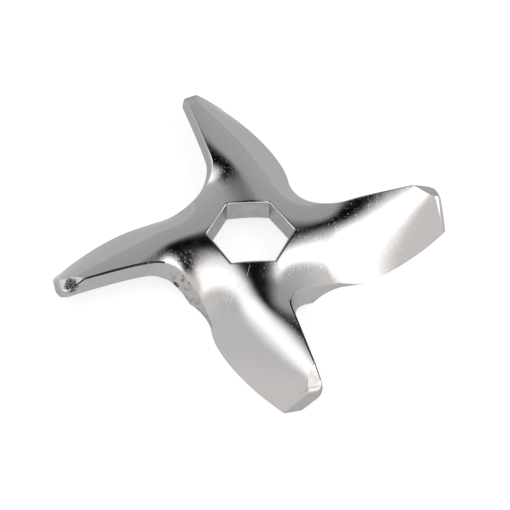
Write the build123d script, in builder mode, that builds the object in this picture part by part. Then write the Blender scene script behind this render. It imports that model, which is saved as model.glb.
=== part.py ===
"""Four-wing cutting knife for a household meat grinder, pressed from one steel plate.

The knife slides on the worm's hexagonal spigot and turns against the hole plate. Four
identical wings leave the hub. Each wing stays level along its trailing side and rolls
down on its leading side to a cutting edge, and all four edges are ground in one plane.

Frame: the bore runs along Z, the cutting edges lie in the plane Z = 0, and one wing
points along +X. Millimetres, +Z up. A quarter turn about Z repeats the knife, but for
the bore.
"""

import math
import os

from build123d import *

# ---- hub and bore
bore_across_flats = 9.2      # slides on a 9 mm hexagonal spigot
bore_corner_angle = -13.4    # one bore corner, measured from the wing on +X
hub_height = 4.9             # top of the hub above the cutting plane
hub_thickness = 3.05         # the plate at the hub
wing_thickness = 2.4         # and in the wings, where pressing has drawn it thinner
hub_radius = 7.0             # the hub ends here and the wings' thickness starts ...
wing_radius = 12.0           # ... here

# ---- a wing seen from above
sweep_radius = 24.8          # circle that the tips turn in
trailing_offset = 1.3        # trailing side, from the wing's own centre line
leading_offset = 8.22         # cutting edge at the root, from the centre line
leading_sweep = 0.72         # the cutting edge closes in on the centre line by this much
leading_bow = 4.16           # in a straight line, and this much more in a bow, at the tip
root_reach = 10.0            # distance from the bore where the cutting edge starts
root_radius = 5.4            # rounding between one wing and the next, at the top
root_opening = 0.45          # and how much wider it is per millimetre down
root_inset = 0.8             # the blank's side at the root, inside the cutting edge
wall_lean = 0.14             # the sheared walls lean out by this much per millimetre down
corner_radius = 1.2          # rounding of the trailing corner of each tip
rim_break = 0.25             # the bore's upper rim is broken by this much
grinding_strip = 0.4         # strip that grinding takes off along the cutting edge
grinding_depth = 2.5         # and the depth it takes off under the cutting plane

# ---- how the plate is pressed down
crest_root = -1.37            # the level line of a wing beside the hub, from its centre line
crest_tip = 1.72              # and out along the wing
crest_turn = 12.19            # where that line crosses over
crest_turn_length = 3.25
crest_rise = 0.14            # the level line stands this much above the hub ...
rise_reach = 16.24            # ... at this distance from the bore
rise_length = 5.54
roll_root = 9.96              # size of the rounded shoulder at the root
roll_tip = 2.05               # and at the tip
roll_end = 11.44             # across a wing, the rolling ends at this distance
crest_softness = 1.36        # how softly a wing's level line turns into its flank at the root
tip_softness = 2.25          # and at the tip
valley_start = 3.05          # the plate sinks from one wing's level line ...
valley_end = 8.56            # ... to the next wing's flank over this distance by the hub
valley_thinning_depth = 1.4  # and is thinner by this much half-way
steep_slope = 45.0           # in degrees: flanks steeper than this are thinner too
valley_softness = 2.39       # how softly the sinking starts ...
flank_softness = 2.57        # ... and how softly it ends
outer_start = 8.23           # the same start, end and softness further out
outer_end = 9.71
outer_softness = 1.73
outer_flank_softness = 2.05
outer_reach = 12.6           # half of that change is reached here
outer_length = 2.09          # and it takes about this length

# ---- bevel on the end of each wing
bevel_reach = 21.6           # where the bevel starts on the level corner, from the bore
bevel_slope = 32.0           # its fall, in degrees
bevel_skew = 12.0            # and its turn towards the trailing side

run_on = 0.75                # blank and pressed faces run on this far past the sweep circle
net_reach = sweep_radius + run_on     # half-width of the net that carries a pressed face
net_steps = 30
blank_height = 1.2 * hub_height     # the sheared blank, before it is pressed


def soft_ramp(x, softness):
    """Zero on the left, x on the right, with a rounded change between."""
    return (x + math.hypot(x, softness)) / 2


def crest(reach):
    """Offset of a wing's level line from its centre line, at this distance from the bore."""
    turn = (1 + math.tanh((reach - crest_turn) / crest_turn_length)) / 2
    return crest_root + (crest_tip - crest_root) * turn


def crest_height(reach):
    """Height of a wing's level line above the cutting plane."""
    return hub_height + crest_rise * math.exp(-((reach - rise_reach) / rise_length) ** 2)


def leading_edge(reach):
    """Distance of the cutting edge from the wing's centre line."""
    share = max(reach - root_reach, 0) / (sweep_radius - root_reach)
    return leading_offset - leading_sweep * share - leading_bow * share**2


def valley(x, y):
    """Share of the next wing's sinking that is reached between the wings on +X and +Y."""
    beyond = y - crest(x)
    out = (1 + math.tanh((x - outer_reach) / outer_length)) / 2
    start, end, softness, end_softness = [
        near + (far - near) * out
        for near, far in (
            (valley_start, outer_start),
            (valley_end, outer_end),
            (valley_softness, outer_softness),
            (flank_softness, outer_flank_softness),
        )
    ]
    rise = soft_ramp(beyond - start, softness) - soft_ramp(beyond - end, end_softness)
    return rise / (end - start)


def flank(x, y):
    """How far the wing on +Y is rolled down on its leading side."""
    reach = min(max(y, 0.8 * root_reach), sweep_radius)
    share = (reach - root_reach) / (sweep_radius - root_reach)
    roll = roll_root + (roll_tip - roll_root) * share
    full = leading_edge(reach) + crest(reach)
    steepness = crest_height(reach) / (math.hypot(full, roll) - roll)
    softness = crest_softness + (tip_softness - crest_softness) * max(share, 0)
    across = soft_ramp(x + crest(y), softness)
    across -= soft_ramp(across - roll_end, roll_end / 10)
    return steepness * (math.hypot(across, roll) - roll)


def quarters(x, y):
    """The same place seen in the frame of each wing in turn."""
    return [(x, y), (y, -x), (-x, -y), (-y, x)]


def top_height(x, y):
    """Height of the plate's upper face."""
    sunk = sum(valley(*place) * flank(*place) for place in quarters(x, y))
    height = crest_height(math.hypot(x, y)) - sunk
    return soft_ramp(height + grinding_depth, grinding_depth / 4) - grinding_depth


def under_height(x, y):
    """Height of the plate's lower face: its thickness is measured square to the upper.

    Steeper than steep_slope the upper face counts as hardly any steeper, so a flank thins.
    """
    step = 0.05
    slope_x = (top_height(x + step, y) - top_height(x - step, y)) / (2 * step)
    slope_y = (top_height(x, y + step) - top_height(x, y - step)) / (2 * step)
    share = min(max((math.hypot(x, y) - hub_radius) / (wing_radius - hub_radius), 0), 1)
    share = share**2 * (3 - 2 * share)
    thickness = hub_thickness + (wing_thickness - hub_thickness) * share
    half_way = share * max(
        4 * valley(*place) * (1 - valley(*place)) for place in quarters(x, y)
    )
    slope = math.hypot(slope_x, slope_y)
    held_slope = slope / math.hypot(1, slope / math.tan(math.radians(steep_slope)))
    steeper = math.hypot(1, held_slope)
    return top_height(x, y) - thickness * steeper + valley_thinning_depth * half_way


def pressed_face(height):
    """One face of the pressed plate, through a square net of points at these heights."""
    places = [net_reach * (2 * step / net_steps - 1) for step in range(net_steps + 1)]
    points = [[Vector(x, y, height(x, y)) for y in places] for x in places]
    return Face.make_surface_from_array_of_points(points, 0.02, (1, 1, 1), 3, 5)


def outline(height):
    """Outline of the sheared walls at this height, with the wings left long."""
    down = hub_height - height
    trailing = trailing_offset + wall_lean * down
    leading = leading_offset - root_inset + wall_lean * down
    radius = root_radius + root_opening * down
    middle = radius * (1 - math.sqrt(0.5))
    with BuildSketch(Plane.XY.offset(height)) as sketch:
        with BuildLine():
            for angle in (0, 90, 180, 270):
                bowed = []
                for share in (0.4, 0.6, 0.8, 1):
                    reach = root_reach + share * (net_reach - root_reach)
                    place = Vector(leading_edge(reach) + grinding_strip, reach)
                    bowed.append(place.rotate(Axis.Z, angle))
                long_end, start, centre, end, next_end = [
                    Vector(*place).rotate(Axis.Z, angle)
                    for place in (
                        (net_reach, trailing),
                        (leading + radius, trailing),
                        (leading + middle, trailing + middle),
                        (leading, trailing + radius),
                        (-trailing, net_reach),
                    )
                ]
                Line(long_end, start)
                ThreePointArc(start, centre, end)
                Spline(end, *bowed)
                Line(bowed[-1], next_end)
        make_face()
    return sketch.sketch


with BuildPart() as knife:
    # the sheared blank, its long wings trimmed to the circle that they turn in
    loft([outline(0), outline(blank_height)], ruled=True)
    with BuildSketch():
        Circle(sweep_radius)
    extrude(amount=blank_height, mode=Mode.INTERSECT)
    trailing_corners = []
    for edge in knife.edges().filter_by(lambda edge: edge.bounding_box().size.Z > hub_height):
        middle = edge.position_at(0.5)
        turned = math.degrees(math.atan2(middle.Y, middle.X)) % 90
        if math.hypot(middle.X, middle.Y) > 0.98 * sweep_radius and turned < 20:
            trailing_corners.append(edge)
    fillet(trailing_corners, corner_radius)

    # pressed to shape: only what lies between the upper and the lower face is left
    for height, way in ((top_height, 1), (under_height, -1)):
        cut = pressed_face(height)
        extrude(cut, amount=2 * blank_height, dir=(0, 0, way), mode=Mode.SUBTRACT)

    # a bevel on each tip
    for angle in (0, 90, 180, 270):
        facing = Vector(0, 0, 1).rotate(Axis.Y, bevel_slope).rotate(Axis.Z, bevel_skew + angle)
        start = Vector(bevel_reach, trailing_offset, hub_height).rotate(Axis.Z, angle)
        split(bisect_by=Plane(start, z_dir=facing), keep=Keep.BOTTOM)

    # the bore, and the break along its upper rim
    for start, taper in ((0, 0), (hub_height - rim_break, -45)):
        with BuildSketch(Plane.XY.offset(start)):
            RegularPolygon(
                bore_across_flats / 2, 6, major_radius=False, rotation=bore_corner_angle
            )
        extrude(amount=blank_height - start, taper=taper, mode=Mode.SUBTRACT)

knife.part.label = "four_wing_knife"
os.makedirs("parts", exist_ok=True)
export_step(knife.part, "parts/four_wing_knife.step")
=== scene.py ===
"""Four-wing cutting knife of a household meat grinder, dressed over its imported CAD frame.

The knife is one pressed and tumbled steel plate. Its skin is one closed surface, worked out
on grids that run across every wing: from the level middle of a wing out to its edge, over the
broken edge, down the sheared wall and back in underneath. The form is worked out in
millimetres, which become metres when the mesh is made.
"""

import logging
import math
from dataclasses import dataclass, field
from enum import Enum
from functools import cached_property
from typing import Callable, Union

import bpy
import numpy as np
from mathutils import Matrix, Vector


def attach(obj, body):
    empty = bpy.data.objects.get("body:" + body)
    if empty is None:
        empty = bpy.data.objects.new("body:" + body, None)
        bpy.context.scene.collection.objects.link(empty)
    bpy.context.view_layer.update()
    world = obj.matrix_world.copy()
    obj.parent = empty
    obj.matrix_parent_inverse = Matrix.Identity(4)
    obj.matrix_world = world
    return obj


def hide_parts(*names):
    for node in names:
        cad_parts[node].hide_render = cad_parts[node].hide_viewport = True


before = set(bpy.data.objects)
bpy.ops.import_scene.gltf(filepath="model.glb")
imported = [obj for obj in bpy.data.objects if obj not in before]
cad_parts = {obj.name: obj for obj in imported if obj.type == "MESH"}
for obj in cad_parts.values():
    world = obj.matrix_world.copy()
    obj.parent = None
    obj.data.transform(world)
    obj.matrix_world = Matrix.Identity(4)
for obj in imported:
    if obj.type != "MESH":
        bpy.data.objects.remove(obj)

LOG = logging.getLogger("knife")
MILLIMETRE = 0.001              # in metres
MERGE_PARTS = 1e5               # points are merged on a net of this many parts to a millimetre
SHARP_ANGLE = math.radians(35)  # edges sharper than this stay sharp in the shading
HALVINGS = 50                   # steps of a search that halves its range
TINY = 1e-12                    # keeps a vector without length from dividing by zero

# x and y of points over the plan
Plan = tuple[np.ndarray, np.ndarray]
# a value over the plan, from arrays of x and y
Surface = Callable[[np.ndarray, np.ndarray], np.ndarray]
# a grid of points, rows by columns by 3, with the finish of each face between them
Grid = tuple[np.ndarray, np.ndarray]
# a plain number or an array of them
Values = Union[float, np.ndarray]
Socket = bpy.types.NodeSocket
# what a node's input takes: a plain value, or an output socket to link
Input = Union[float, tuple, Socket]


class Finish(Enum):
    """Which finish a face of the knife takes: its place in the mesh's material slots."""

    POLISHED = 0
    SHEARED = 1
    GROUND = 2
    BURRED = 3


def soft_ramp(x: Values, softness: Values) -> Values:
    """Zero on the left, x on the right: half of x plus the root of x squared and softness squared."""
    return (x + np.hypot(x, softness)) / 2


def between(near: Values, far: Values, share: Values) -> Values:
    """The value at this share of the way from near to far."""
    return near * (1 - share) + far * share


def unit(vectors: np.ndarray) -> np.ndarray:
    """Vectors at unit length, row by row."""
    return vectors / (np.linalg.norm(vectors, axis=1)[:, None] + TINY)


def square_to(vectors: np.ndarray, lines: np.ndarray) -> np.ndarray:
    """Unit vectors square to unit lines, row by row: each vector less its part along its line."""
    return unit(vectors - np.sum(vectors * lines, axis=1)[:, None] * lines)


def raised(plan: np.ndarray, face: Surface) -> np.ndarray:
    """Plan points with the height of a face as their third coordinate."""
    return np.concatenate([plan, face(plan[..., 0], plan[..., 1])[..., None]], axis=-1)


def even_rows(rows: int) -> np.ndarray:
    """Even shares from 0 to 1 down the rows of a grid, ready to multiply its points."""
    return np.linspace(0, 1, rows)[:, None, None]


def last_holding(
    test: Callable[[np.ndarray], np.ndarray], low: np.ndarray, high: np.ndarray
) -> np.ndarray:
    """Searches where a test stops holding, by halving the range between low and high.

    Args:
        test: says for an array of values where they still hold.
        low: values at which the test holds.
        high: values at which it no longer does.

    Returns:
        The last values that hold.
    """
    for _ in range(HALVINGS):
        middle = (low + high) / 2
        holds = test(middle)
        low, high = np.where(holds, middle, low), np.where(holds, high, middle)
    return low


def quarter_turn(x: np.ndarray, y: np.ndarray, turns: int) -> Plan:
    """Turns plan points by whole quarter turns about the bore: each turn takes x, y to -y, x.

    Args:
        x: first coordinates.
        y: second coordinates.
        turns: number of quarter turns, which may be below zero.

    Returns:
        x and y of the turned points.
    """
    for _ in range(turns % 4):
        x, y = -y, x
    return x, y


def quarters(x: np.ndarray, y: np.ndarray) -> list[Plan]:
    """The same plan points in the frame of each wing in turn."""
    return [quarter_turn(x, y, -wing) for wing in range(4)]


@dataclass(frozen=True)
class PressedForm:
    """The pressed plate as two heights over the plan, in millimetres, as the CAD part has it."""

    # hub and bore
    hub_height: float = 4.9
    hub_thickness: float = 3.05
    wing_thickness: float = 2.4
    hub_radius: float = 7.0
    wing_radius: float = 12.0
    bore_across_flats: float = 9.2
    bore_corner_angle: float = -13.4
    # a wing seen from above
    sweep_radius: float = 24.8
    trailing_offset: float = 1.3
    leading_offset: float = 8.22
    leading_sweep: float = 0.72
    leading_bow: float = 4.16
    root_reach: float = 10.0
    root_radius: float = 5.4
    root_opening: float = 0.45
    root_inset: float = 0.8
    wall_lean: float = 0.14
    corner_radius: float = 1.2
    grinding_strip: float = 0.4
    grinding_depth: float = 2.5
    grinding_softness: float = 0.625
    # how the plate is pressed down
    crest_root: float = -1.37
    crest_tip: float = 1.72
    crest_turn: float = 12.19
    crest_turn_length: float = 3.25
    crest_rise: float = 0.14
    rise_reach: float = 16.24
    rise_length: float = 5.54
    roll_root: float = 9.96
    roll_tip: float = 2.05
    roll_end: float = 11.44
    roll_end_softness: float = 1.144
    roll_least_reach: float = 8.0
    crest_softness: float = 1.36
    tip_softness: float = 2.25
    valley_start: float = 3.05
    valley_end: float = 8.56
    valley_thinning_depth: float = 1.4
    steep_slope: float = 45.0
    slope_step: float = 0.05
    valley_softness: float = 2.39
    flank_softness: float = 2.57
    outer_start: float = 8.23
    outer_end: float = 9.71
    outer_softness: float = 1.73
    outer_flank_softness: float = 2.05
    outer_reach: float = 12.6
    outer_length: float = 2.09
    # bevel on the end of each wing
    bevel_reach: float = 21.6
    bevel_slope: float = 32.0
    bevel_skew: float = 12.0
    # how far the blank's side is drawn past the sweep circle
    run_on: float = 0.75

    def crest(self, reach: Values) -> Values:
        """Offset of a wing's level line from its centre line: a tanh step along the reach."""
        turn = (1 + np.tanh((reach - self.crest_turn) / self.crest_turn_length)) / 2
        return between(self.crest_root, self.crest_tip, turn)

    def crest_height(self, reach: Values) -> Values:
        """Height of the level line: the hub's height plus a bell-shaped rise over the reach."""
        bell = np.exp(-(((reach - self.rise_reach) / self.rise_length) ** 2))
        return self.hub_height + self.crest_rise * bell

    def leading_edge(self, reach: Values) -> Values:
        """Distance of the cutting edge from the centre line: a straight and a square term."""
        share = np.maximum(reach - self.root_reach, 0) / (self.sweep_radius - self.root_reach)
        return self.leading_offset - self.leading_sweep * share - self.leading_bow * share**2

    def valley(self, x: np.ndarray, y: np.ndarray) -> np.ndarray:
        """Share of the next wing's sinking that is reached between the wings on +X and +Y.

        It is a ramp rounded at both ends, which starts and ends later further out.

        Args:
            x: distance along the wing on +X.
            y: distance across it, towards the wing on +Y.

        Returns:
            0 on the wing on +X, rising to 1 on the flank of the wing on +Y.
        """
        beyond = y - self.crest(x)
        out = (1 + np.tanh((x - self.outer_reach) / self.outer_length)) / 2
        start = between(self.valley_start, self.outer_start, out)
        end = between(self.valley_end, self.outer_end, out)
        softness = between(self.valley_softness, self.outer_softness, out)
        end_softness = between(self.flank_softness, self.outer_flank_softness, out)
        rise = soft_ramp(beyond - start, softness) - soft_ramp(beyond - end, end_softness)
        return rise / (end - start)

    def flank(self, x: np.ndarray, y: np.ndarray) -> np.ndarray:
        """Depth that the wing on +Y is rolled down: a hyperbola across, steeper with reach.

        Args:
            x: distance across the wing, towards its cutting edge.
            y: distance along it.

        Returns:
            The depth below the level line.
        """
        reach = np.clip(y, self.roll_least_reach, self.sweep_radius)
        share = (reach - self.root_reach) / (self.sweep_radius - self.root_reach)
        roll = between(self.roll_root, self.roll_tip, share)
        full = self.leading_edge(reach) + self.crest(reach)
        steepness = self.crest_height(reach) / (np.hypot(full, roll) - roll)
        softness = between(self.crest_softness, self.tip_softness, np.maximum(share, 0))
        across = soft_ramp(x + self.crest(y), softness)
        across = across - soft_ramp(across - self.roll_end, self.roll_end_softness)
        return steepness * (np.hypot(across, roll) - roll)

    def top(self, x: np.ndarray, y: np.ndarray) -> np.ndarray:
        """Height of the upper face: the crest height less valley times flank of all four wings.

        Args:
            x: first plan coordinates.
            y: second plan coordinates.

        Returns:
            Heights above the cutting plane, levelling off at the grinding depth below it.
        """
        height = self.crest_height(np.hypot(x, y))
        for place in quarters(x, y):
            height = height - self.valley(*place) * self.flank(*place)
        return soft_ramp(height + self.grinding_depth, self.grinding_softness) - self.grinding_depth

    def bevel(self, x: np.ndarray, y: np.ndarray) -> np.ndarray:
        """Height of the bevel plane over the tip of the wing on +X.

        Args:
            x: first plan coordinates.
            y: second plan coordinates.

        Returns:
            Heights of the plane, which falls by its slope along its skewed direction.
        """
        fall, skew = math.tan(math.radians(self.bevel_slope)), math.radians(self.bevel_skew)
        away = (x - self.bevel_reach) * math.cos(skew) + (y - self.trailing_offset) * math.sin(skew)
        return self.hub_height - away * fall

    def under(self, x: np.ndarray, y: np.ndarray) -> np.ndarray:
        """Height of the lower face: the upper less the thickness over the cosine of its slope.

        Steeper than steep_slope the upper face counts as hardly any steeper, so a flank thins.

        Args:
            x: first plan coordinates.
            y: second plan coordinates.

        Returns:
            Heights above the cutting plane, below zero where grinding takes the plate off.
        """
        step = self.slope_step
        slope_x = (self.top(x + step, y) - self.top(x - step, y)) / (2 * step)
        slope_y = (self.top(x, y + step) - self.top(x, y - step)) / (2 * step)
        share = (np.hypot(x, y) - self.hub_radius) / (self.wing_radius - self.hub_radius)
        share = np.clip(share, 0, 1)
        share = share**2 * (3 - 2 * share)
        thickness = between(self.hub_thickness, self.wing_thickness, share)
        sunk = [self.valley(*place) for place in quarters(x, y)]
        half_way = share * np.max([4 * part * (1 - part) for part in sunk], axis=0)
        slope = np.hypot(slope_x, slope_y)
        slope = slope / np.hypot(1, slope / math.tan(math.radians(self.steep_slope)))
        thinning = self.valley_thinning_depth * half_way
        return self.top(x, y) - thickness * np.hypot(1, slope) + thinning


@dataclass
class KnifeSkin:
    """The knife's whole skin as grids of columns that run across the wings.

    A sector lies between the middle of one wing and the middle of the next. Its columns start
    on the wing's middle line or on the bore, and end on the outline: tip, trailing wall, root,
    cutting edge, next tip. Four sectors and the bore close to one solid.
    """

    form: PressedForm = field(default_factory=PressedForm)
    # columns along the outline of a sector, and round its part of the bore
    tip_columns: int = 11
    corner_columns: int = 12
    trailing_columns: int = 68
    root_columns: int = 23
    bore_columns: int = 44
    next_root_columns: int = 7
    next_tip_columns: int = 24
    # rows from the middle of the upper face out, down and back in underneath
    top_rows: int = 34
    bevel_rows: int = 13
    break_rows: int = 6
    wall_rows: int = 6
    foot_rows: int = 4
    land_rows: int = 5
    under_rows: int = 20
    # the dark press line: its rows on the broken edge, its last column, and the wings with one
    burr_rows: int = 4
    burr_end: int = 103
    burred_wings: tuple[int, ...] = (2, 3)
    # broken upper edge: radius along the wings and at the tips, and the columns over which it
    # changes, counted on from the corner and back from the next middle line. It is nearly full
    # where the wall stands taller than the taper times its radius
    edge_break: float = 0.3
    tip_break: float = 0.2
    break_grows: tuple[int, int] = (12, 30)
    break_shrinks: tuple[int, int] = (60, 30)
    break_taper: float = 4.0
    # lip that the shear turned up along the sweep circle
    lip_inset: float = 0.3
    lip_width: float = 0.25
    lip_height: float = 0.14
    # lower edge, cutting edge and the bore's two rims
    foot_break: float = 0.08
    foot_taper: float = 5.0
    keen_edge: float = 0.04
    rim_break: float = 0.25
    rim_foot: float = 0.1
    # middle line of a wing: angles of its two ends, reach of its outer end, length of its first
    # run, and reach at which the trailing side's columns end
    middle_angle: float = -2.8
    middle_bore_angle: float = -20.0
    middle_start: float = 23.5
    middle_tip_run: float = 0.9
    middle_root: float = 10.2
    # where the quartic along the blank's leading side is fixed, as shares of the way out
    blank_stations: tuple[float, ...] = (0.4, 0.6, 0.8, 1.0)
    # searches: ranges of the cutting edge's offset and of its end's angle, and the height from
    # which the outline settles in this many steps
    keen_range: tuple[float, float] = (2.5, 9.6)
    tip_corner_range: tuple[float, float] = (70.0, 90.0)
    first_height: float = 2.0
    settling_steps: int = 120
    # where a rounding leaves an edge: how far in the face is probed, and the least cosine
    # between the rounding's leg and its column
    probe_step: float = 0.02
    least_slant: float = 0.35
    # least square of the weight of the corner that an arc bends round
    least_bend: float = 0.02
    # rows of a sheet, as shares of the way: the least at which its crease lies, the last row but
    # one outside the crease, the first two inside it, and the power that gathers the rest there
    least_crease: float = 0.06
    outside_last: float = 0.9
    inside_first: float = 0.012
    inside_second: float = 0.03
    inside_power: float = 1.15

    @property
    def line_columns(self) -> int:
        """Number of columns that start on one wing's middle line."""
        return self.tip_columns + self.corner_columns + self.trailing_columns + self.root_columns

    @property
    def total_columns(self) -> int:
        """Number of columns of a sector."""
        return 2 * self.line_columns + self.bore_columns - 2

    @property
    def wall_starts(self) -> list[int]:
        """Where the wall's parts begin: tip, corner, trailing side, root, leading side, next tip.

        Returns:
            First column of each of the six parts, and the number of all columns.
        """
        root = self.root_columns + self.bore_columns + self.next_root_columns - 2
        counts = [0, self.tip_columns, self.corner_columns, self.trailing_columns, root]
        total = self.total_columns
        return [*np.cumsum(counts).tolist(), total - self.next_tip_columns, total]

    def hexagon(self, angle: np.ndarray, offset: float) -> Plan:
        """The bore's hexagon: its apothem over the cosine of the angle to the nearest flat.

        Args:
            angle: directions from the bore's axis.
            offset: how far outside the bore's flats the points stand.

        Returns:
            x and y of the points.
        """
        side = math.pi / 3
        flat = math.radians(self.form.bore_corner_angle) + side / 2
        away = (angle - flat + side / 2) % side - side / 2
        reach = (self.form.bore_across_flats / 2 + offset) / np.cos(away)
        return reach * np.cos(angle), reach * np.sin(angle)

    def middle_line(self, wing: int, offset: float) -> Plan:
        """Middle line of a wing from its tip in to the bore, in the frame of that wing.

        Args:
            wing: how many quarter turns the wing is from +X.
            offset: how far out from the bore's flats the line ends.

        Returns:
            x and y, one value to a column, on straight runs between four stations.
        """
        start = math.radians(self.middle_angle)
        bore = math.radians(self.middle_bore_angle) + wing * math.pi / 2
        end = quarter_turn(*self.hexagon(np.array([bore]), offset), -wing)
        end_x, end_y = (value[0] for value in end)
        first = self.middle_start * math.cos(start)
        stations = [0, *self.wall_starts[2:4], self.line_columns - 1]
        reach = [first, first - self.middle_tip_run, self.middle_root, end_x]
        x = np.interp(np.arange(self.line_columns), stations, reach)
        return x, between(self.middle_start * math.sin(start), end_y, (first - x) / (first - end_x))

    def bore_angles(self, sector: int) -> np.ndarray:
        """Even steps over a quarter of the bore, with the nearest step moved onto each corner.

        Two turns of corners are tried, since the last sector runs past a full turn.

        Args:
            sector: how many quarter turns the sector is from +X.

        Returns:
            Angles, one to a column.
        """
        start = self.middle_bore_angle + 90 * sector
        angles = np.linspace(start, start + 90, self.bore_columns)
        for corner in self.form.bore_corner_angle + 60 * np.arange(12):
            if start < corner < start + 90:
                angles[np.argmin(np.abs(angles - corner))] = corner
        return np.radians(angles)

    def inner_ends(self, sector: int, offset: float) -> np.ndarray:
        """Inner ends of a sector's columns: in along one wing, round the bore, out along the next.

        Args:
            sector: how many quarter turns the sector is from +X.
            offset: how far out from the bore's flats the ends stand.

        Returns:
            Plan points, one to a column.
        """
        inward = self.middle_line(sector, offset)
        outward = quarter_turn(*self.middle_line((sector + 1) % 4, offset), 1)
        bore = quarter_turn(*self.hexagon(self.bore_angles(sector), offset), -sector)
        ends = [
            np.concatenate([first[:-1], middle, last[::-1][1:]])
            for first, middle, last in zip(inward, bore, outward)
        ]
        return np.stack(ends, axis=1)

    def cutting_edge(self, reach: np.ndarray) -> np.ndarray:
        """Offset of the wing's keen edge on +Y: where the upper face sinks to its height."""
        near, far = (np.full_like(reach, offset) for offset in self.keen_range)
        return last_holding(lambda x: self.form.top(x, reach) > self.keen_edge, near, far)

    @cached_property
    def tip_corner(self) -> float:
        """Where the keen edge meets the sweep circle on the wing on +Y.

        Returns:
            The angle from +X.
        """

        def cut_off(angle: np.ndarray) -> np.ndarray:
            """Whether the circle's point at this angle lies outside the keen edge."""
            reach = self.form.sweep_radius
            return self.form.top(reach * np.cos(angle), reach * np.sin(angle)) <= self.keen_edge

        low, high = (np.array([math.radians(angle)]) for angle in self.tip_corner_range)
        return float(last_holding(cut_off, low, high)[0])

    def wall(self, height: np.ndarray) -> Plan:
        """The sheared wall of sector +X to +Y at a height for each column.

        The parts follow each other along the columns: the sweep circle, the rounded corner,
        the straight trailing side, the root's arc, the blank's leading side as the quartic
        through its five stations, and the sweep circle again.

        Args:
            height: one height to a column.

        Returns:
            x and y, one value to a column.
        """
        form = self.form
        down = form.hub_height - height
        side = form.trailing_offset + form.wall_lean * down
        lead = form.leading_offset - form.root_inset + form.wall_lean * down
        root = form.root_radius + form.root_opening * down
        centre_y = side - form.corner_radius
        centre_x = np.sqrt((form.sweep_radius - form.corner_radius) ** 2 - centre_y**2)
        meet = np.arctan2(centre_y, centre_x)
        start = math.radians(self.middle_angle)

        starts = self.wall_starts
        tip, corner, trailing, bend, leading, next_tip = map(slice, starts, starts[1:])
        share = np.concatenate([np.arange(count) / count for count in np.diff(starts)])
        share[next_tip] = np.linspace(0, 1, self.next_tip_columns)
        x, y, angle = np.zeros((3, self.total_columns))
        angle[tip] = between(start, meet[tip], share[tip])
        angle[corner] = between(meet[corner], math.pi / 2, share[corner])
        angle[bend] = -math.pi / 2 * (1 + share[bend])
        angle[next_tip] = between(self.tip_corner, math.pi / 2 + start, share[next_tip])

        for part in (tip, next_tip):
            x[part] = form.sweep_radius * np.cos(angle[part])
            y[part] = form.sweep_radius * np.sin(angle[part])
        x[corner] = (centre_x + form.corner_radius * np.cos(angle))[corner]
        y[corner] = (centre_y + form.corner_radius * np.sin(angle))[corner]
        x[trailing] = between(centre_x, lead + root, share)[trailing]
        y[trailing] = side[trailing]
        x[bend] = (lead + root + root * np.cos(angle))[bend]
        y[bend] = (side + root + root * np.sin(angle))[bend]
        end = form.sweep_radius * math.sin(self.tip_corner)
        y[leading] = between(side + root, end, share)[leading]
        x[leading] = self.blank_side(lead[leading], (side + root)[leading], y[leading])
        return x, y

    def blank_side(self, lead: np.ndarray, begin: np.ndarray, reach: np.ndarray) -> np.ndarray:
        """Leading side of the blank: the Lagrange quartic through the root's end and four
        stations that stand the grinding strip outside the cutting edge.

        Args:
            lead: offset of the root's end from the wing's centre line.
            begin: reach of the root's end.
            reach: where along the wing the side is wanted.

        Returns:
            Offsets from the wing's centre line.
        """
        form = self.form
        far = form.sweep_radius + form.run_on
        stations = [between(form.root_reach, far, share) for share in self.blank_stations]
        values = [form.leading_edge(station) + form.grinding_strip for station in stations]
        stations, values = [begin, *stations], [lead, *values]
        total = np.zeros_like(reach)
        for index, term in enumerate(values):
            for other, station in enumerate(stations):
                if other != index:
                    term = term * (reach - station) / (stations[index] - station)
            total = total + term
        return total

    def upper(self, x: np.ndarray, y: np.ndarray) -> np.ndarray:
        """Height of the upper face: the least of the pressed face and the bevels of the sector's
        two wings, with the lip along the sweep circle, bell-shaped over the reach.

        Args:
            x: first plan coordinates.
            y: second plan coordinates.

        Returns:
            Heights above the cutting plane.
        """
        height = self.form.top(x, y)
        for place in quarters(x, y)[:2]:
            height = np.minimum(height, self.form.bevel(*place))
        inside = self.form.sweep_radius - self.lip_inset - np.hypot(x, y)
        return height + self.lip_height * np.exp(-((inside / self.lip_width) ** 2))

    def lower(self, x: np.ndarray, y: np.ndarray) -> np.ndarray:
        """Height of the lower face with the ground lands: never below the cutting plane."""
        return np.maximum(self.form.under(x, y), 0)

    def above_pressed(self, x: np.ndarray, y: np.ndarray) -> np.ndarray:
        """How far the bevel plane stands above the pressed face: below zero on the bevel."""
        return self.form.bevel(x, y) - self.form.top(x, y)

    def outline(self) -> tuple[np.ndarray, np.ndarray]:
        """Upper and lower edge of the outline of a sector.

        Each edge is the fixed point of: height equals the face's height where the wall stands
        at that height. Where the upper face sinks below the keen edge first, the edge is the
        keen edge, straight above the cutting plane.

        Returns:
            Two arrays of points, one point to a column.
        """
        edges = []
        for face in (self.upper, self.lower):
            height = np.full(self.total_columns, self.first_height)
            for _ in range(self.settling_steps):
                height = between(height, np.maximum(face(*self.wall(height)), 0), 0.5)
            edges.append(np.stack([*self.wall(height), height], axis=1))
        upper, lower = edges
        leading = slice(self.line_columns + self.bore_columns - 2, self.wall_starts[-2])
        keen_x = self.cutting_edge(upper[leading, 1])
        keen = np.zeros(self.total_columns, bool)
        keen[leading] = keen_x < upper[leading, 0]
        upper[leading, 0] = np.minimum(keen_x, upper[leading, 0])
        upper[:, 2] = np.maximum(upper[:, 2], self.keen_edge)
        lower[keen] = upper[keen] * (1, 1, 0)
        return upper, lower

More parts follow.
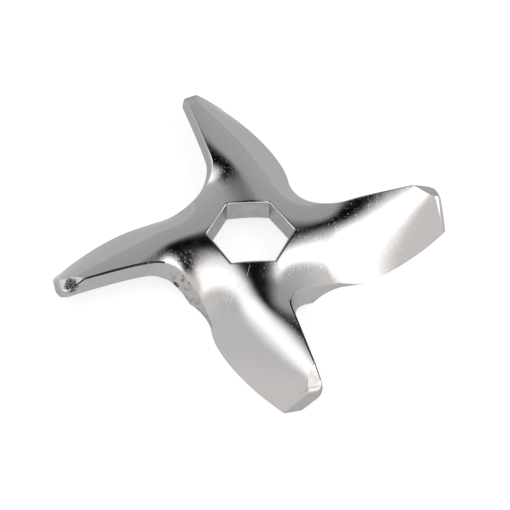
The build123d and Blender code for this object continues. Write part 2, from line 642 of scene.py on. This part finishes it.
    def arc(self, start: np.ndarray, corner: np.ndarray, end: np.ndarray, rows: int) -> np.ndarray:
        """Round arc inside a corner: the rational quadratic whose middle weight is the sine of
        half the angle between the two legs.

        Args:
            start: points where the arc begins.
            corner: points of the sharp corner.
            end: points where it ends.
            rows: number of rows of points.

        Returns:
            Points, rows by columns by 3.
        """
        cosine = np.sum(unit(start - corner) * unit(end - corner), axis=1)
        bend = np.sqrt(np.clip((1 - cosine) / 2, self.least_bend, 1))[None, :, None]
        t = even_rows(rows)
        near, middle, far = (1 - t) ** 2, 2 * t * (1 - t) * bend, t**2
        return (near * start + middle * corner + far * end) / (near + middle + far)

    def leg(
        self, edge: np.ndarray, inner: np.ndarray, face: Surface, back: np.ndarray,
        radius: np.ndarray,
    ) -> tuple[np.ndarray, np.ndarray]:
        """Where a rounding of this radius leaves a face and the wall.

        Args:
            edge: the sharp edge's points.
            inner: plan points that the columns run to.
            face: height of the face over the plan.
            back: directions down or up the wall from the edge.
            radius: the rounding's radius at each column.

        Returns:
            The point on the face and the point on the wall, both at the tangent length.
        """
        towards = unit(inner - edge[:, :2])
        ahead = np.roll(edge, -1, axis=0) - np.roll(edge, 1, axis=0)
        ahead[0], ahead[-1] = edge[1] - edge[0], edge[-1] - edge[-2]
        ahead = unit(ahead)
        run = square_to(raised(edge[:, :2] + self.probe_step * towards, face) - edge, ahead)
        down = square_to(back, ahead)
        opening = np.arccos(np.clip(np.sum(run * down, axis=1), -1, 1))
        length = radius / np.tan(opening / 2)
        slide = length / np.maximum(np.sum(run[:, :2] * towards, axis=1), self.least_slant)
        reach = length / np.maximum(np.sum(down * back, axis=1), self.least_slant)
        on_face = raised(edge[:, :2] + slide[:, None] * towards, face)
        return on_face, edge + back * reach[:, None]

    def crossing(self, start: np.ndarray, inner: np.ndarray, gap: Surface) -> np.ndarray:
        """Where each column crosses the line on which gap turns from negative to positive.

        Args:
            start: the columns' outer points.
            inner: plan points that the columns run to.
            gap: a value over the plan.

        Returns:
            Shares of the way in, and the least share where gap starts positive.
        """

        def inside(share: np.ndarray) -> np.ndarray:
            """Whether gap is still negative at these shares of the way in."""
            return gap(*between(start[:, :2], inner, share[:, None]).T) < 0

        none, whole = np.zeros(len(start)), np.ones(len(start))
        share = np.maximum(last_holding(inside, none, whole), self.least_crease)
        return np.where(inside(none), share, self.least_crease)

    def sheet(
        self, start: np.ndarray, inner: np.ndarray, face: Surface, line: np.ndarray,
        near: int, far: int,
    ) -> np.ndarray:
        """Rows of a face from its edge to the inner ends, with one row along a crease.

        Args:
            start: points where the sheet leaves the rounding.
            inner: plan points of the inner ends.
            face: height of the face over the plan.
            line: share of the way at which each column crosses the crease.
            near: rows outside the crease.
            far: rows inside it.

        Returns:
            Points, rows by columns by 3.
        """
        outside = np.append(np.linspace(0, self.outside_last, near - 1), 1.0)
        inside = np.maximum(np.linspace(0, 1, far) ** self.inside_power, self.inside_second)
        inside[0] = self.inside_first
        share = np.concatenate([np.outer(outside, line), between(line, 1, inside[:, None])])
        points = raised(between(start[:, :2], inner, share[..., None]), face)
        points[0] = start
        return points

    def break_radius(self, tall: np.ndarray) -> np.ndarray:
        """Radius of the broken upper edge: larger along the wings than at the tips.

        Args:
            tall: height of the wall at each column.

        Returns:
            Radii, one to a column, which shrink where the wall is low.
        """
        corner_end, total = self.wall_starts[2], self.total_columns
        stations = [corner_end + columns for columns in self.break_grows]
        stations += [total - columns for columns in self.break_shrinks]
        share = np.interp(np.arange(total), stations, [0, 1, 1, 0])
        radius = between(self.tip_break, self.edge_break, share)
        return radius * (1 - np.exp(-tall / (self.break_taper * radius)))

    def skin(self, turns: int, upper: np.ndarray, lower: np.ndarray) -> Grid:
        """Skin of one sector, in the frame of the wing that it starts on.

        Args:
            turns: quarter turns of the sector from +X.
            upper: upper edge of the outline.
            lower: lower edge of the outline.

        Returns:
            Points and finishes of the grid.
        """
        top_inner = self.inner_ends(turns, self.rim_break)
        low_inner = self.inner_ends(turns, self.rim_foot)
        tall = np.linalg.norm(lower - upper, axis=1)
        down = (lower - upper) / tall[:, None]
        foot = self.foot_break * (1 - np.exp(-tall / (self.foot_taper * self.foot_break)))
        on_top, wall_top = self.leg(upper, top_inner, self.upper, down, self.break_radius(tall))
        on_low, wall_low = self.leg(lower, low_inner, self.lower, -down, foot)

        crease = self.crossing(on_top, top_inner, self.above_pressed)
        border = self.crossing(on_low, low_inner, self.form.under)
        top = self.sheet(on_top, top_inner, self.upper, crease, self.bevel_rows, self.top_rows)
        over = self.arc(on_top, upper, wall_top, self.break_rows)
        wall = between(wall_top, wall_low, even_rows(self.wall_rows))
        below = self.arc(wall_low, lower, on_low, self.foot_rows)
        low = self.sheet(on_low, low_inner, self.lower, border, self.land_rows, self.under_rows)
        points = np.concatenate([top[::-1], over[1:], wall[1:], below[1:], low[1:]])
        return points, self.skin_finish(turns, crease, border)

    def skin_finish(self, turns: int, crease: np.ndarray, border: np.ndarray) -> np.ndarray:
        """Finish of each face of a sector's skin, with the bevel and the press line picked out.

        Args:
            turns: quarter turns of the sector from +X.
            crease: share of the way in at which each column leaves the bevel.
            border: share of the way in at which it leaves the ground land.

        Returns:
            Slot numbers, rows by columns.
        """
        edge_row = self.bevel_rows + self.top_rows - 1
        rows = np.repeat(
            [kind.value for kind in (Finish.POLISHED, Finish.SHEARED, Finish.GROUND, Finish.POLISHED)],
            [
                edge_row + self.break_rows - 1, self.wall_rows + self.foot_rows - 2,
                self.land_rows - 1, self.under_rows,
            ],
        )
        finish = np.repeat(rows[:, None], self.total_columns - 1, axis=1)
        on_bevel, on_land = crease > self.least_crease, border > self.least_crease
        bevelled = on_bevel[1:] & on_bevel[:-1]
        finish[self.top_rows:edge_row, bevelled] = Finish.SHEARED.value
        if turns in self.burred_wings:
            columns = slice(self.wall_starts[2], self.burr_end)
            finish[edge_row:edge_row + self.burr_rows, columns] = Finish.BURRED.value
        unground = (finish == Finish.GROUND.value) & ~on_land[None, :-1]
        finish[unground] = Finish.POLISHED.value
        return finish

    def bore(self, turns: int, skin: np.ndarray) -> Grid:
        """One sector's part of the bore: from its foot up the shaft to the broken rim.

        Args:
            turns: quarter turns of the sector from +X.
            skin: points of the sector's skin, which the rims join.

        Returns:
            Points and finishes of the grid, in the frame of the wing that the sector starts on.
        """
        columns = slice(self.line_columns - 1, self.line_columns - 1 + self.bore_columns)
        plan = np.stack(quarter_turn(*self.hexagon(self.bore_angles(turns), 0.0), -turns), axis=1)
        rim, base = raised(plan, self.upper), raised(plan, self.lower)
        above = self.arc(skin[0, columns], rim, rim - [0, 0, self.rim_break], self.foot_rows)
        feet = self.arc(base + [0, 0, self.rim_foot], base, skin[-1, columns], self.foot_rows)
        shaft = between(above[-1], feet[0], even_rows(self.wall_rows))
        points = np.concatenate([above, shaft[1:], feet[1:]])[::-1]
        finish = np.full((len(points) - 1, self.bore_columns - 1), Finish.SHEARED.value)
        finish[-(self.foot_rows - 1):] = Finish.POLISHED.value
        return points, finish

    def sector(self, turns: int, upper: np.ndarray, lower: np.ndarray) -> list[Grid]:
        """Grids of one sector, its skin and its part of the bore, turned into place.

        Args:
            turns: quarter turns of the sector from +X.
            upper: upper edge of the outline.
            lower: lower edge of the outline.

        Returns:
            The two grids.
        """
        skin, skin_finish = self.skin(turns, upper, lower)
        grids = []
        for points, finish in ((skin, skin_finish), self.bore(turns, skin)):
            x, y = quarter_turn(points[..., 0], points[..., 1], turns)
            grids.append((np.stack([x, y, points[..., 2]], axis=-1), finish))
        return grids

    def build(self, name: str) -> bpy.types.Object:
        """Joins the grids of the four sectors, merges their seams and makes the mesh.

        Args:
            name: name of the object.

        Returns:
            The finished object, at the origin.
        """
        upper, lower = self.outline()
        sectors = [self.sector(turns, upper, lower) for turns in range(4)]
        for (skin, _), (next_skin, _) in zip(
            (grids[0] for grids in sectors), (grids[0] for grids in sectors[1:] + sectors[:1])
        ):
            skin[:, -1] = next_skin[:, 0]
        points, quads, kinds, first = [], [], [], 0
        for grid, finish in (grids for pair in sectors for grids in pair):
            rows, columns = grid.shape[:2]
            index = first + np.arange(rows * columns).reshape(rows, columns)
            corners = [index[:-1, :-1], index[1:, :-1], index[1:, 1:], index[:-1, 1:]]
            quads.append(np.stack(corners, axis=-1).reshape(-1, 4))
            points.append(grid.reshape(-1, 3))
            kinds.append(finish.reshape(-1))
            first += rows * columns
        places, faces, finishes = (np.concatenate(parts) for parts in (points, quads, kinds))
        keys = np.round(places * MERGE_PARTS).astype(np.int64)
        _, keep, merged = np.unique(keys, axis=0, return_index=True, return_inverse=True)
        return mesh_object(name, places[keep] * MILLIMETRE, merged.reshape(-1)[faces], finishes)


def mesh_object(
    name: str, places: np.ndarray, faces: np.ndarray, finishes: np.ndarray
) -> bpy.types.Object:
    """Puts points and quads into a mesh, smooth but for its sharp corners.

    Args:
        name: name of the object.
        places: points, in metres.
        faces: four point numbers to a face. A face with two corners in one place is left out.
        finishes: material slot of each face.

    Returns:
        The object, linked to the scene.
    """
    corners = np.sort(faces, axis=1)
    whole = (corners[:, 1:] != corners[:, :-1]).all(axis=1)
    faces, finishes = faces[whole], finishes[whole]
    mesh = bpy.data.meshes.new(name)
    mesh.vertices.add(len(places))
    mesh.vertices.foreach_set("co", places.reshape(-1))
    mesh.loops.add(faces.size)
    mesh.loops.foreach_set("vertex_index", faces.reshape(-1).astype(np.int32))
    mesh.polygons.add(len(faces))
    mesh.polygons.foreach_set("loop_start", np.arange(0, faces.size, 4, dtype=np.int32))
    mesh.polygons.foreach_set("material_index", finishes.astype(np.int32))
    mesh.update(calc_edges=True)
    mesh.validate()
    mesh.shade_smooth()
    mesh.set_sharp_from_angle(angle=SHARP_ANGLE)
    piece = bpy.data.objects.new(name, mesh)
    bpy.context.scene.collection.objects.link(piece)
    return piece


@dataclass(frozen=True)
class Grain:
    """Noise on a surface and the smooth step that it is cut to: scale per metre, detail, the
    noise values at the step's two ends, and what the step gives there."""

    scale: float
    detail: float
    low: float
    high: float
    start: float = 0.0
    end: float = 1.0


@dataclass(frozen=True)
class Scratch:
    """A straight scratch over the plan: its two ends and half its width, in millimetres."""

    start: tuple[float, float]
    end: tuple[float, float]
    half_width: float


@dataclass(frozen=True)
class Blemish:
    """A dark ragged spot: centre and radius in millimetres, scale per metre and detail of its
    rags, and the shares of the radius between which it fades."""

    centre: tuple[float, float, float]
    radius: float
    rag_scale: float = 3000.0
    rag_detail: float = 3.0
    inner: float = 0.3
    outer: float = 0.6


class Nodes:
    """Short hand for building one node tree."""

    def __init__(self, owner: Union[bpy.types.Material, bpy.types.World]) -> None:
        """Starts with an empty tree.

        Args:
            owner: the material or world that the tree belongs to.
        """
        owner.use_nodes = True
        self.tree = owner.node_tree
        self.tree.nodes.clear()

    def add(self, kind: str, inputs: dict | None = None, **settings: str | bool) -> bpy.types.Node:
        """Adds a node, sets its properties, and sets or links its inputs.

        Args:
            kind: the node's type name.
            inputs: a value, or an output socket to link, for each input name or number.
            settings: properties of the node.

        Returns:
            The node.
        """
        node = self.tree.nodes.new(kind)
        for key, value in settings.items():
            setattr(node, key, value)
        for key, value in (inputs or {}).items():
            if isinstance(value, Socket):
                self.tree.links.new(value, node.inputs[key])
            else:
                node.inputs[key].default_value = value
        return node

    def place(self) -> Socket:
        """The place on the object, in metres."""
        return self.add("ShaderNodeTexCoord").outputs["Object"]

    def math(self, operation: str, first: Input, second: Input = 0.0, clamp: bool = False) -> Socket:
        """One step of arithmetic.

        Args:
            operation: Blender's name of the step.
            first: first operand.
            second: second operand.
            clamp: whether the result is held between 0 and 1.

        Returns:
            The result's socket.
        """
        node = self.add("ShaderNodeMath", {0: first, 1: second}, operation=operation, use_clamp=clamp)
        return node.outputs[0]

    def vector(self, operation: str, inputs: dict, output: str = "Vector") -> Socket:
        """One step of vector arithmetic.

        Args:
            operation: Blender's name of the step.
            inputs: operands by input number or name.
            output: "Vector", or "Value" where the step gives a number.

        Returns:
            The result's socket.
        """
        return self.add("ShaderNodeVectorMath", inputs, operation=operation).outputs[output]

    def dot(self, first: Input, second: Input) -> Socket:
        """The dot product of two vectors."""
        return self.vector("DOT_PRODUCT", {0: first, 1: second}, "Value")

    def mix(self, share: Input, none: tuple, whole: tuple) -> Socket:
        """The colour at this share of the way from one colour to another."""
        inputs = {0: share, 6: (*none, 1.0), 7: (*whole, 1.0)}
        return self.add("ShaderNodeMix", inputs, data_type="RGBA").outputs[2]

    def ramp(
        self, value: Input, low: float, high: float, start: float = 0.0, end: float = 1.0
    ) -> Socket:
        """Smooth step of a value.

        Args:
            value: what the step follows.
            low: value at which the step begins.
            high: value at which it ends.
            start: what it gives at low.
            end: what it gives at high.

        Returns:
            The result's socket.
        """
        inputs = {"Value": value, "From Min": low, "From Max": high, "To Min": start, "To Max": end}
        node = self.add("ShaderNodeMapRange", inputs, interpolation_type="SMOOTHSTEP")
        return node.outputs["Result"]

    def noise(self, vector: Socket, scale: float, detail: float) -> Socket:
        """Noise at this scale per metre, from 0 to 1."""
        inputs = {"Vector": vector, "Scale": scale, "Detail": detail}
        return self.add("ShaderNodeTexNoise", inputs).outputs["Fac"]

    def grain(self, place: Socket, grain: Grain) -> Socket:
        """Noise at a place, cut to the grain's smooth step."""
        noise = self.noise(place, grain.scale, grain.detail)
        return self.ramp(noise, grain.low, grain.high, grain.start, grain.end)

    def line(self, place: Socket, scratch: Scratch) -> Socket:
        """Share of a scratch: 1 on the line between its ends, 0 past its half width from there.

        Args:
            place: the place on the object.
            scratch: the scratch.

        Returns:
            The share's socket.
        """
        start = Vector((*scratch.start, 0.0)) * MILLIMETRE
        along = Vector((*scratch.end, 0.0)) * MILLIMETRE - start
        plan = self.vector("MULTIPLY", {0: place, 1: (1.0, 1.0, 0.0)})
        away = self.vector("SUBTRACT", {0: plan, 1: tuple(start)})
        share = self.dot(away, tuple(along / along.length_squared))
        share = self.math("MULTIPLY", share, 1.0, clamp=True)
        run = self.vector("SCALE", {0: tuple(along), "Scale": share})
        gap = self.vector("DISTANCE", {0: away, 1: run}, "Value")
        return self.ramp(gap, 0.0, scratch.half_width * MILLIMETRE, 1.0, 0.0)

    def spot(self, place: Socket, blemish: Blemish) -> Socket:
        """Share of a ragged spot: the distance from its centre, less noise, against its radius.

        Args:
            place: the place on the object.
            blemish: the spot.

        Returns:
            The share's socket.
        """
        centre = tuple(part * MILLIMETRE for part in blemish.centre)
        radius = blemish.radius * MILLIMETRE
        away = self.vector("DISTANCE", {0: place, 1: centre}, "Value")
        rags = self.noise(place, blemish.rag_scale, blemish.rag_detail)
        edge = self.math("SUBTRACT", away, self.math("MULTIPLY", rags, radius))
        return self.ramp(edge, blemish.inner * radius, blemish.outer * radius, 1.0, 0.0)

    def stretched(
        self, vector: Socket, scale: tuple[float, float, float], turn: float = 0.0
    ) -> Socket:
        """Coordinates turned about Z, in radians, and scaled on each axis."""
        inputs = {"Vector": vector, "Rotation": (0.0, 0.0, turn), "Scale": scale}
        return self.add("ShaderNodeMapping", inputs).outputs["Vector"]


@dataclass(frozen=True)
class SteelFinish:
    """One finish of the knife's steel. Each kind of finish fills its own tree."""

    name: str
    colour: tuple[float, float, float] = (0.39, 0.39, 0.392)
    # dark colour of dirt, stains and burrs, which also paints a dark reflection on the sheared wall
    dirt_and_reflection_dark: tuple[float, float, float] = (0.024, 0.021, 0.019)
    grazing: float = 0.7
    bump_strength: float = 0.35
    bump_distance: float = 0.0001

    def make(self) -> bpy.types.Material:
        """Makes the finish's material.

        Returns:
            The material, with its tree filled.
        """
        material = bpy.data.materials.new(self.name)
        nodes = Nodes(material)
        self.dress(nodes, nodes.place())
        return material

    def dress(self, nodes: Nodes, place: Socket) -> None:
        """Fills the tree. Each kind of finish has its own way."""
        raise NotImplementedError(self.name)

    def surface(
        self, nodes: Nodes, roughness: Input, height: Input, dark: Socket | None = None
    ) -> None:
        """Ends the tree with the metal's shader.

        Args:
            nodes: the tree.
            roughness: value or socket.
            height: height of the bumps.
            dark: share of the dark colour, where the finish has some: dirt, stains and burrs, and a
                painted dark reflection on the sheared wall.
        """
        plain = (*self.colour, 1.0)
        colour = plain if dark is None else nodes.mix(dark, self.colour, self.dirt_and_reflection_dark)
        inputs = {"Height": height, "Strength": self.bump_strength, "Distance": self.bump_distance}
        inputs = {
            "Base Color": colour,
            "Metallic": 1.0,
            "Specular Tint": (self.grazing, self.grazing, self.grazing, 1.0),
            "Roughness": roughness,
            "Normal": nodes.add("ShaderNodeBump", inputs).outputs["Normal"],
        }
        shader = nodes.add("ShaderNodeBsdfPrincipled", inputs)
        nodes.add("ShaderNodeOutputMaterial", {"Surface": shader.outputs["BSDF"]})


@dataclass(frozen=True)
class PolishedSteel(SteelFinish):
    """Tumbled and polished: soft waves, fine pits in patches, and hair lines in a few directions."""

    name: str = "polished_steel"
    wave_scale: float = 420.0
    wave_detail: float = 2.0
    wave_height: float = 0.18
    pits: Grain = Grain(4200.0, 1.0, 0.35, 0.25)
    pitted: Grain = Grain(170.0, 1.0, 0.42, 0.60)
    pit_depth: float = 0.25
    hairs: Grain = Grain(6500.0, 0.0, 0.70, 0.75)
    haired: Grain = Grain(210.0, 0.0, 0.52, 0.60)
    hair_turns: tuple[float, ...] = (0.45, 1.7, 2.5)
    hair_stretch: float = 0.025
    hair_depth: float = 0.04
    hair_roughness: float = 0.10
    haze: Grain = Grain(900.0, 3.0, 0.3, 0.75, 0.11, 0.15)
    scratches: tuple[Scratch, ...] = (
        Scratch((-4.9, -8.3), (-7.1, -11.0), 0.12),
        Scratch((-1.7, -5.1), (-2.6, -6.6), 0.06),
    )
    scratch_hairs: float = 4.0

    def dress(self, nodes: Nodes, place: Socket) -> None:
        """Fills the tree. A scratch counts as this many hair lines.

        Args:
            nodes: the tree.
            place: the place on the object.
        """
        pits = nodes.math("MULTIPLY", nodes.grain(place, self.pits), nodes.grain(place, self.pitted))
        hair = 0.0
        for turn in self.hair_turns:
            along = nodes.stretched(place, (1.0, self.hair_stretch, 1.0), turn)
            hair = nodes.math("MAXIMUM", nodes.grain(along, self.hairs), hair)
        hair = nodes.math("MULTIPLY", hair, nodes.grain(place, self.haired))
        for scratch in self.scratches:
            line = nodes.math("MULTIPLY", nodes.line(place, scratch), self.scratch_hairs)
            hair = nodes.math("MAXIMUM", hair, line)
        waves = nodes.noise(place, self.wave_scale, self.wave_detail)
        height = nodes.math("MULTIPLY", waves, self.wave_height)
        for dent, depth in ((pits, self.pit_depth), (hair, self.hair_depth)):
            height = nodes.math("SUBTRACT", height, nodes.math("MULTIPLY", dent, depth))
        dull = nodes.math("MULTIPLY", hair, self.hair_roughness)
        self.surface(nodes, nodes.math("ADD", nodes.grain(place, self.haze), dull), height)


@dataclass(frozen=True)
class ShearedSteel(SteelFinish):
    """Torn by the die: upright streaks, dull, with a dirty patch, a dark stain and a painted dark
    reflection at a tip.
    """

    name: str = "sheared_steel"
    colour: tuple[float, float, float] = (0.40, 0.395, 0.39)
    streak_scale: float = 3200.0
    streak_detail: float = 3.0
    streak_stretch: float = 0.12
    streak_height: float = 0.30
    patch_scale: float = 700.0
    patch_detail: float = 2.0
    patch_noise: tuple[float, float] = (0.3, 0.7)
    patch_roughness: tuple[float, float] = (0.34, 0.50)
    stain: Blemish = Blemish((-10.6, -3.1, 1.75), 0.42)
    # painted reflection: a dark ragged spot on the end wall of a wing's tip, for the dark surroundings
    # that the wall mirrors
    dark_reflection_spot: Blemish = Blemish((-23.5, -0.9, 3.9), 0.95)
    torn: Grain = Grain(5200.0, 2.0, 0.34, 0.56, 0.55, 1.0)
    dirt: Blemish = Blemish((-9.6, -5.2, 1.2), 4.0)
    specks: Grain = Grain(1300.0, 4.0, 0.48, 0.72)
    speck_darkness: float = 0.55

    def dress(self, nodes: Nodes, place: Socket) -> None:
        """Fills the tree.

        Args:
            nodes: the tree.
            place: the place on the object.
        """
        upright = nodes.stretched(place, (1.0, 1.0, self.streak_stretch))
        streaks = nodes.noise(upright, self.streak_scale, self.streak_detail)
        patches = nodes.noise(place, self.patch_scale, self.patch_detail)
        height = nodes.math("ADD", nodes.math("MULTIPLY", streaks, self.streak_height), patches)
        rough = nodes.ramp(patches, *self.patch_noise, *self.patch_roughness)
        specks = nodes.math("MULTIPLY", nodes.grain(place, self.specks), self.speck_darkness)
        dark = nodes.math("MULTIPLY", nodes.spot(place, self.dirt), specks)
        torn = nodes.grain(place, self.torn)
        # the stain, and the painted dark reflection at the tip, are broken up by the torn grain
        for blemish in (self.stain, self.dark_reflection_spot):
            spot = nodes.math("MULTIPLY", nodes.spot(place, blemish), torn)
            dark = nodes.math("MAXIMUM", dark, spot)
        self.surface(nodes, rough, height, dark)


@dataclass(frozen=True)
class BurredSteel(SteelFinish):
    """The ragged line that the press left along a trailing edge: torn, and dark in places."""

    name: str = "burred_steel"
    bump_strength: float = 0.5
    roughness: float = 0.3
    torn_scale: float = 2400.0
    torn_detail: float = 3.0
    broken_scale: float = 600.0
    broken_detail: float = 1.0
    dark_from: float = 0.54
    dark_to: float = 0.72

    def dress(self, nodes: Nodes, place: Socket) -> None:
        """Fills the tree.

        Args:
            nodes: the tree.
            place: the place on the object.
        """
        torn = nodes.noise(place, self.torn_scale, self.torn_detail)
        broken = nodes.noise(place, self.broken_scale, self.broken_detail)
        dark = nodes.ramp(nodes.math("ADD", torn, broken), self.dark_from, self.dark_to)
        self.surface(nodes, self.roughness, torn, dark)


@dataclass(frozen=True)
class GroundSteel(SteelFinish):
    """Ground flat on the cutting plane: close parallel lines."""

    name: str = "ground_steel"
    bump_strength: float = 0.30
    line_scale: float = 9000.0
    line_detail: float = 2.0
    line_stretch: float = 0.02
    line_turn: float = 0.6
    haze: Grain = Grain(600.0, 2.0, 0.3, 0.7, 0.20, 0.30)

    def dress(self, nodes: Nodes, place: Socket) -> None:
        """Fills the tree.

        Args:
            nodes: the tree.
            place: the place on the object.
        """
        along = nodes.stretched(place, (self.line_stretch, 1.0, 1.0), self.line_turn)
        lines = nodes.noise(along, self.line_scale, self.line_detail)
        self.surface(nodes, nodes.grain(place, self.haze), lines)


@dataclass(frozen=True)
class SoftBox:
    """A soft-edged patch of the studio sky, seen from the knife.

    Angles are in degrees. The bearing is counted from the viewer's right towards the far side,
    the tilt from straight up, and the spin turns the patch's length the same way as the bearing.
    Half length, half width and softness are tangents of angles from the patch's centre.
    """

    bearing: float
    tilt: float
    spin: float
    half_length: float
    half_width: float
    softness: float
    level: float


@dataclass
class Studio:
    """Pale floor, plain soft sky with two broad lights and a dim gap between, and the camera."""

    # camera: direction from the knife in degrees, distance and aim in metres, lens in millimetres
    azimuth: float = -18.47
    elevation: float = 51.05
    roll: float = 1.2
    distance: float = 0.4798
    aim_right: float = -0.00053
    aim_up: float = 0.00299
    aim_height: float = 0.0049
    lens: float = 273.74
    film_width: float = 36.0
    clip: tuple[float, float] = (0.01, 20.0)
    # sky: its level, how it changes to the far side and upwards, its range and its two tints
    sky_level: float = 1.42
    sky_far: float = -0.53
    sky_top: float = -0.34
    sky_range: tuple[float, float] = (0.50, 1.38)
    near_tint: tuple[float, float, float] = (1.0, 0.95, 0.925)
    far_tint: tuple[float, float, float] = (0.965, 0.98, 1.0)
    tint_range: tuple[float, float] = (-0.3, 0.5)
    # a box fades out between these cosines from its centre
    box_horizon: tuple[float, float] = (0.05, 0.2)
    boxes: tuple[SoftBox, ...] = (
        SoftBox(185.8, 26.5, 188.3, 0.382, 0.459, 0.15, 1.8),
        SoftBox(-11.7, 32.8, 103.6, 0.84, 0.091, 0.26, 5.6),
    )
    gap: SoftBox = SoftBox(74.7, 9.2, 104.6, 0.70, 0.40, 0.22, 1.0)
    # floor: size and depth under the cutting plane in metres, and its painted glow, a pool of painted
    # light that fades away from the knife
    floor_size: float = 6.0
    floor_depth: float = 0.00002
    floor_paint: float = 0.2
    painted_glow_reach: tuple[float, float] = (0.06, 0.25)
    floor_painted_glow: tuple[float, float] = (0.80, 0.4)

    def turned(self, direction: tuple[float, float, float]) -> Vector:
        """A direction of the studio's axes in the knife's frame, at unit length."""
        return (Matrix.Rotation(math.radians(self.azimuth), 3, "Z") @ Vector(direction)).normalized()

    def camera(self) -> None:
        """Makes the camera that looks at the knife from the front, a little above half way up."""
        azimuth, elevation, roll = (
            math.radians(value) for value in (self.azimuth, self.elevation, self.roll)
        )
        back = Vector((
            math.sin(azimuth) * math.cos(elevation),
            -math.cos(azimuth) * math.cos(elevation),
            math.sin(elevation),
        ))
        side = Vector((math.cos(azimuth), math.sin(azimuth), 0.0))
        up = back.cross(side)
        right = math.cos(roll) * side + math.sin(roll) * up
        upward = -math.sin(roll) * side + math.cos(roll) * up
        place = back * self.distance - right * self.aim_right - upward * self.aim_up
        place.z += self.aim_height
        data = bpy.data.cameras.new("camera")
        data.lens, data.sensor_width = self.lens, self.film_width
        data.clip_start, data.clip_end = self.clip
        camera = bpy.data.objects.new("camera", data)
        turn = Matrix((right, upward, back)).transposed().to_4x4()
        camera.matrix_world = Matrix.Translation(place) @ turn
        bpy.context.scene.collection.objects.link(camera)
        bpy.context.scene.camera = camera

    def patch(self, nodes: Nodes, direction: Socket, box: SoftBox) -> Socket:
        """Light of a box: smooth steps of its two tangent coordinates, times its level.

        Args:
            nodes: the world's tree.
            direction: the direction that is looked in.
            box: the box.

        Returns:
            The light's socket.
        """
        bearing, tilt, spin = (math.radians(value) for value in (box.bearing, box.tilt, box.spin))
        level = math.sin(tilt)
        centre = self.turned((level * math.cos(bearing), level * math.sin(bearing), math.cos(tilt)))
        along = self.turned((math.cos(spin), math.sin(spin), 0.0))
        along = (along - centre * along.dot(centre)).normalized()
        ahead = nodes.dot(direction, tuple(centre))
        safe = nodes.math("MAXIMUM", ahead, self.box_horizon[0])
        share = nodes.ramp(ahead, *self.box_horizon)
        for axis, half in ((along, box.half_length), (centre.cross(along), box.half_width)):
            away = nodes.math("DIVIDE", nodes.dot(direction, tuple(axis)), safe)
            away = nodes.math("ABSOLUTE", away)
            side = nodes.ramp(away, half - box.softness, half + box.softness, 1.0, 0.0)
            share = nodes.math("MULTIPLY", share, side)
        return nodes.math("MULTIPLY", share, box.level)

    def sky(self) -> None:
        """Makes the world: a sky that dims upwards and to the far side, with a dim gap over the
        knife and the two broad lights."""
        world = bpy.data.worlds.new("studio")
        bpy.context.scene.world = world
        nodes = Nodes(world)
        direction = nodes.add("ShaderNodeTexCoord").outputs["Generated"]
        far, top = self.turned((0.0, 1.0, 0.0)), self.turned((0.0, 0.0, 1.0))
        level = self.sky_level
        for axis, change in ((far, self.sky_far), (top, self.sky_top)):
            level = nodes.math("ADD", nodes.dot(direction, tuple(axis * change)), level)
        least, most = self.sky_range
        level = nodes.math("MINIMUM", nodes.math("MAXIMUM", level, least), most)
        dim = self.patch(nodes, direction, self.gap)
        level = nodes.math("MULTIPLY", nodes.math("SUBTRACT", 1.0, dim), level)
        for box in self.boxes:
            level = nodes.math("ADD", level, self.patch(nodes, direction, box))
        share = nodes.ramp(nodes.dot(direction, tuple(far)), *self.tint_range)
        tint = nodes.mix(share, self.near_tint, self.far_tint)
        shader = nodes.add("ShaderNodeBackground", {"Color": tint, "Strength": level})
        nodes.add("ShaderNodeOutputWorld", {"Surface": shader.outputs["Background"]})

    def floor(self) -> None:
        """Lays the pale floor under the knife with a painted glow where it is seen or mirrored: white
        near the knife, and a pool of painted light that dims away from it."""
        size = self.floor_size
        mesh = bpy.data.meshes.new("floor")
        corners = [(-size, -size, 0.0), (size, -size, 0.0), (size, size, 0.0), (-size, size, 0.0)]
        mesh.from_pydata(corners, [], [(0, 1, 2, 3)])
        floor = bpy.data.objects.new("floor", mesh)
        floor.location.z = -self.floor_depth
        bpy.context.scene.collection.objects.link(floor)
        material = bpy.data.materials.new("pale_floor")
        nodes = Nodes(material)
        path = nodes.add("ShaderNodeLightPath").outputs
        seen = nodes.math("ADD", path["Is Camera Ray"], path["Is Glossy Ray"])
        seen = nodes.math("ADD", seen, path["Is Transmission Ray"])
        seen = nodes.math("MINIMUM", seen, 1.0)
        away = nodes.vector("LENGTH", {0: nodes.place()}, "Value")
        # painted glow: the floor gives off light where it is seen or mirrored, as a pool of painted
        # light that dims away from the knife
        painted_glow = nodes.math("MULTIPLY", seen, nodes.ramp(away, *self.painted_glow_reach, *self.floor_painted_glow))
        paint = (self.floor_paint, self.floor_paint, self.floor_paint, 1.0)
        paint = nodes.add("ShaderNodeBsdfDiffuse", {"Color": paint})
        glow = nodes.add("ShaderNodeEmission", {"Color": (1.0, 1.0, 1.0, 1.0), "Strength": painted_glow})
        both = {0: paint.outputs["BSDF"], 1: glow.outputs["Emission"]}
        shader = nodes.add("ShaderNodeAddShader", both).outputs["Shader"]
        nodes.add("ShaderNodeOutputMaterial", {"Surface": shader})
        mesh.materials.append(material)


def main() -> None:
    """Builds the knife's skin, dresses it, and sets the studio."""
    logging.basicConfig(level=logging.INFO, format="%(name)s: %(message)s")
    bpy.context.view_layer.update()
    scene = bpy.context.scene
    scene.view_settings.view_transform = "Standard"

    knife = KnifeSkin().build("knife_skin")
    steels = {
        Finish.POLISHED: PolishedSteel(),
        Finish.SHEARED: ShearedSteel(),
        Finish.GROUND: GroundSteel(),
        Finish.BURRED: BurredSteel(),
    }
    for finish in Finish:
        knife.data.materials.append(steels[finish].make())
    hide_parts("four_wing_knife")
    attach(knife, "root")
    LOG.info("knife_skin: %d points, %d faces", len(knife.data.vertices), len(knife.data.polygons))

    studio = Studio()
    studio.camera()
    studio.sky()
    studio.floor()
    LOG.info("studio: camera, sky and floor")


if __name__ == "__main__":
    main()
